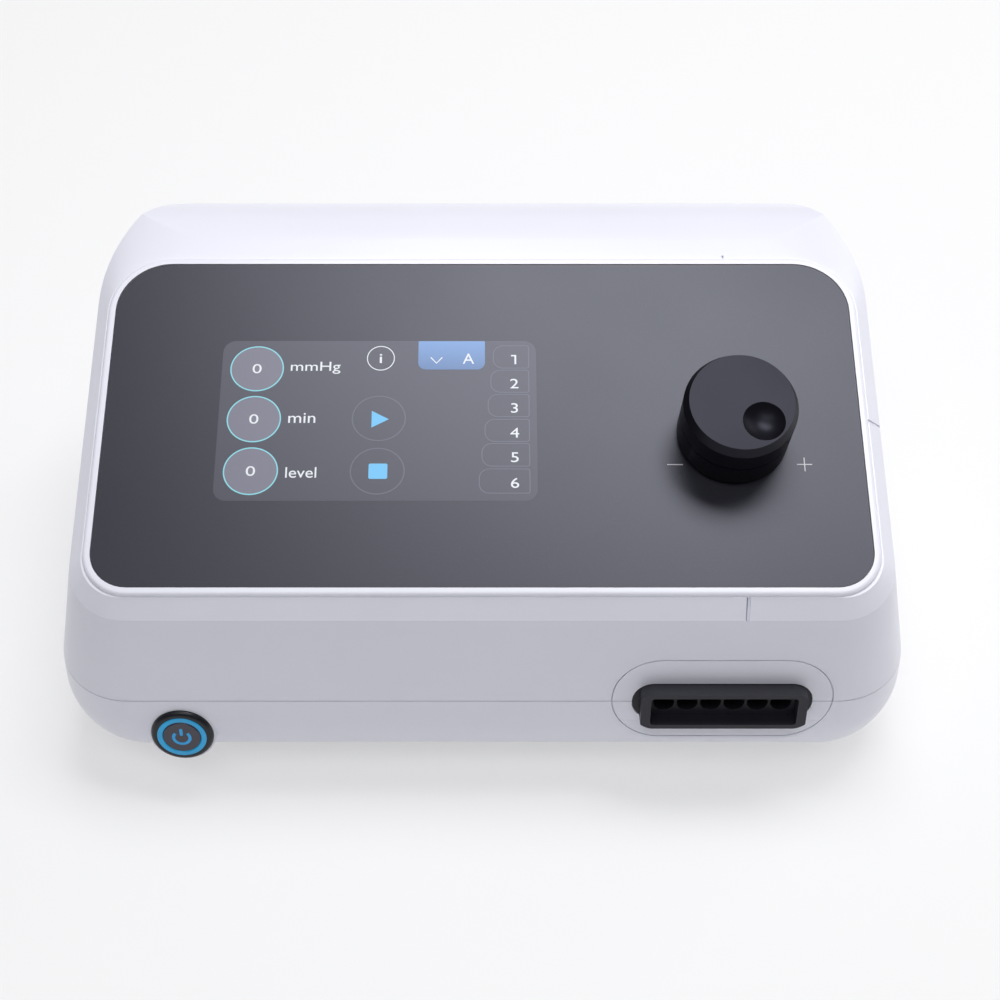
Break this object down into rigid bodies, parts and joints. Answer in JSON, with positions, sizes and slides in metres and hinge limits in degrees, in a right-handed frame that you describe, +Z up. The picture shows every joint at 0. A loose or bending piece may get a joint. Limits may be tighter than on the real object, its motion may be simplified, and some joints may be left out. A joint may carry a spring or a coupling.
{
  "type": "compression therapy pump",
  "caption": "Desktop air compression therapy pump with tilted glass touch panel, jog dial, lit power button and an air outlet for sleeve hoses.",
  "frame": {"origin": "on the table, under the middle of the object", "axes": "+Z up, front with the power button and outlet towards -Y, +X to the right as seen from the front"},
  "size_m": [0.3006, 0.2046, 0.1327],
  "materials": {
    "case_plastic": "satin gloss, pale lavender white",
    "fascia": "polished, printed dark grey behind",
    "foam": "matt",
    "display": "dark",
    "steel": "brushed",
    "core_steel": "laminated, oiled",
    "flex": "polyimide film",
    "circuit_board": "green solder mask",
    "black_plastic": "moulded",
    "grey_plastic": "moulded",
    "dial_plastic": "satin black",
    "bezel_plastic": "polished black",
    "blue_lens": "lit from behind",
    "button_face": "satin black",
    "outlet_plastic": "fine texture, dark grey",
    "seal_rubber": "matt",
    "hose_rubber": "silicone",
    "coil_case": "moulded",
    "copper": "enamelled wire",
    "cast_alloy": "cast",
    "brass_pins": "plated"
  },
  "bodies": {
    "base": {"upper_shell": "case_plastic", "lower_shell": "case_plastic", "fascia_glass": "fascia", "glass_tape": "foam", "display_module": "display", "display_bracket": "steel", "display_ribbon": "flex", "main_board": "circuit_board", "board_screws": "steel", "encoder_body": "steel", "encoder_nut": "steel", "encoder_board": "circuit_board", "button_bezel": "bezel_plastic", "light_ring": "blue_lens", "button_nut": "black_plastic", "button_switch": "black_plastic", "outlet_housing": "outlet_plastic", "outlet_seals": "seal_rubber", "valve_manifold": "grey_plastic", "valve_coil_1": "coil_case", "valve_coil_2": "coil_case", "valve_coil_3": "coil_case", "valve_coil_4": "coil_case", "valve_coil_5": "coil_case", "valve_coil_6": "coil_case", "pressure_sensor": "black_plastic", "pump_stator": "core_steel", "pump_coils": "copper", "pump_cylinder": "cast_alloy", "pump_head": "cast_alloy", "pump_rear_cap": "cast_alloy", "pump_bracket": "steel", "pump_isolators": "seal_rubber", "intake_filter": "grey_plastic", "air_hose": "hose_rubber", "fan_frame": "black_plastic", "mains_inlet": "black_plastic", "inlet_pins": "brass_pins", "power_supply": "circuit_board", "rubber_feet": "seal_rubber", "case_screws": "steel"},
    "dial_rotor": {"encoder_rotor": "black_plastic"},
    "dial": {"encoder_shaft": "steel", "dial_cap": "dial_plastic", "dial_skirt": "dial_plastic"},
    "button": {"power_button": "button_face", "button_spring": "steel"},
    "fan": {"fan_impeller": "black_plastic"},
    "piston": {"pump_piston": "core_steel", "pump_spring": "steel"},
    "valve_1": {"valve_plunger_1": "steel"},
    "valve_2": {"valve_plunger_2": "steel"},
    "valve_3": {"valve_plunger_3": "steel"},
    "valve_4": {"valve_plunger_4": "steel"},
    "valve_5": {"valve_plunger_5": "steel"},
    "valve_6": {"valve_plunger_6": "steel"}
  },
  "joints": [
    {"name": "dial_spin", "type": "hinge", "parent": "base", "child": "dial_rotor", "pos_m": [0.0863, -0.02317, 0.10435], "axis": [0, -0.2756, 0.9613], "continuous": true},
    {"name": "dial_press", "type": "slide", "parent": "dial_rotor", "child": "dial", "axis": [0, 0.2756, -0.9613], "range_m": [0, 0.0005], "stiffness_N_per_m": 6000, "springref_m": -0.0002},
    {"name": "power_press", "type": "slide", "parent": "base", "child": "button", "axis": [0, 0.9641, -0.2656], "range_m": [0, 0.0012], "stiffness_N_per_m": 900, "springref_m": -0.0012},
    {"name": "fan_spin", "type": "hinge", "parent": "base", "child": "fan", "pos_m": [-0.062, 0.09989, 0.06705], "axis": [0, 0.9976, 0.0698], "continuous": true},
    {"name": "pump_stroke", "type": "slide", "parent": "base", "child": "piston", "axis": [1, 0, 0], "range_m": [-0.003, 0.003], "stiffness_N_per_m": 15000},
    {"name": "valve_1_lift", "type": "slide", "parent": "base", "child": "valve_1", "axis": [0, 0.2656, 0.9641], "range_m": [0, 0.0015], "stiffness_N_per_m": 700, "springref_m": -0.001},
    {"name": "valve_2_lift", "type": "slide", "parent": "base", "child": "valve_2", "axis": [0, 0.2656, 0.9641], "range_m": [0, 0.0015], "stiffness_N_per_m": 700, "springref_m": -0.001},
    {"name": "valve_3_lift", "type": "slide", "parent": "base", "child": "valve_3", "axis": [0, 0.2656, 0.9641], "range_m": [0, 0.0015], "stiffness_N_per_m": 700, "springref_m": -0.001},
    {"name": "valve_4_lift", "type": "slide", "parent": "base", "child": "valve_4", "axis": [0, 0.2656, 0.9641], "range_m": [0, 0.0015], "stiffness_N_per_m": 700, "springref_m": -0.001},
    {"name": "valve_5_lift", "type": "slide", "parent": "base", "child": "valve_5", "axis": [0, 0.2656, 0.9641], "range_m": [0, 0.0015], "stiffness_N_per_m": 700, "springref_m": -0.001},
    {"name": "valve_6_lift", "type": "slide", "parent": "base", "child": "valve_6", "axis": [0, 0.2656, 0.9641], "range_m": [0, 0.0015], "stiffness_N_per_m": 700, "springref_m": -0.001}
  ]
}
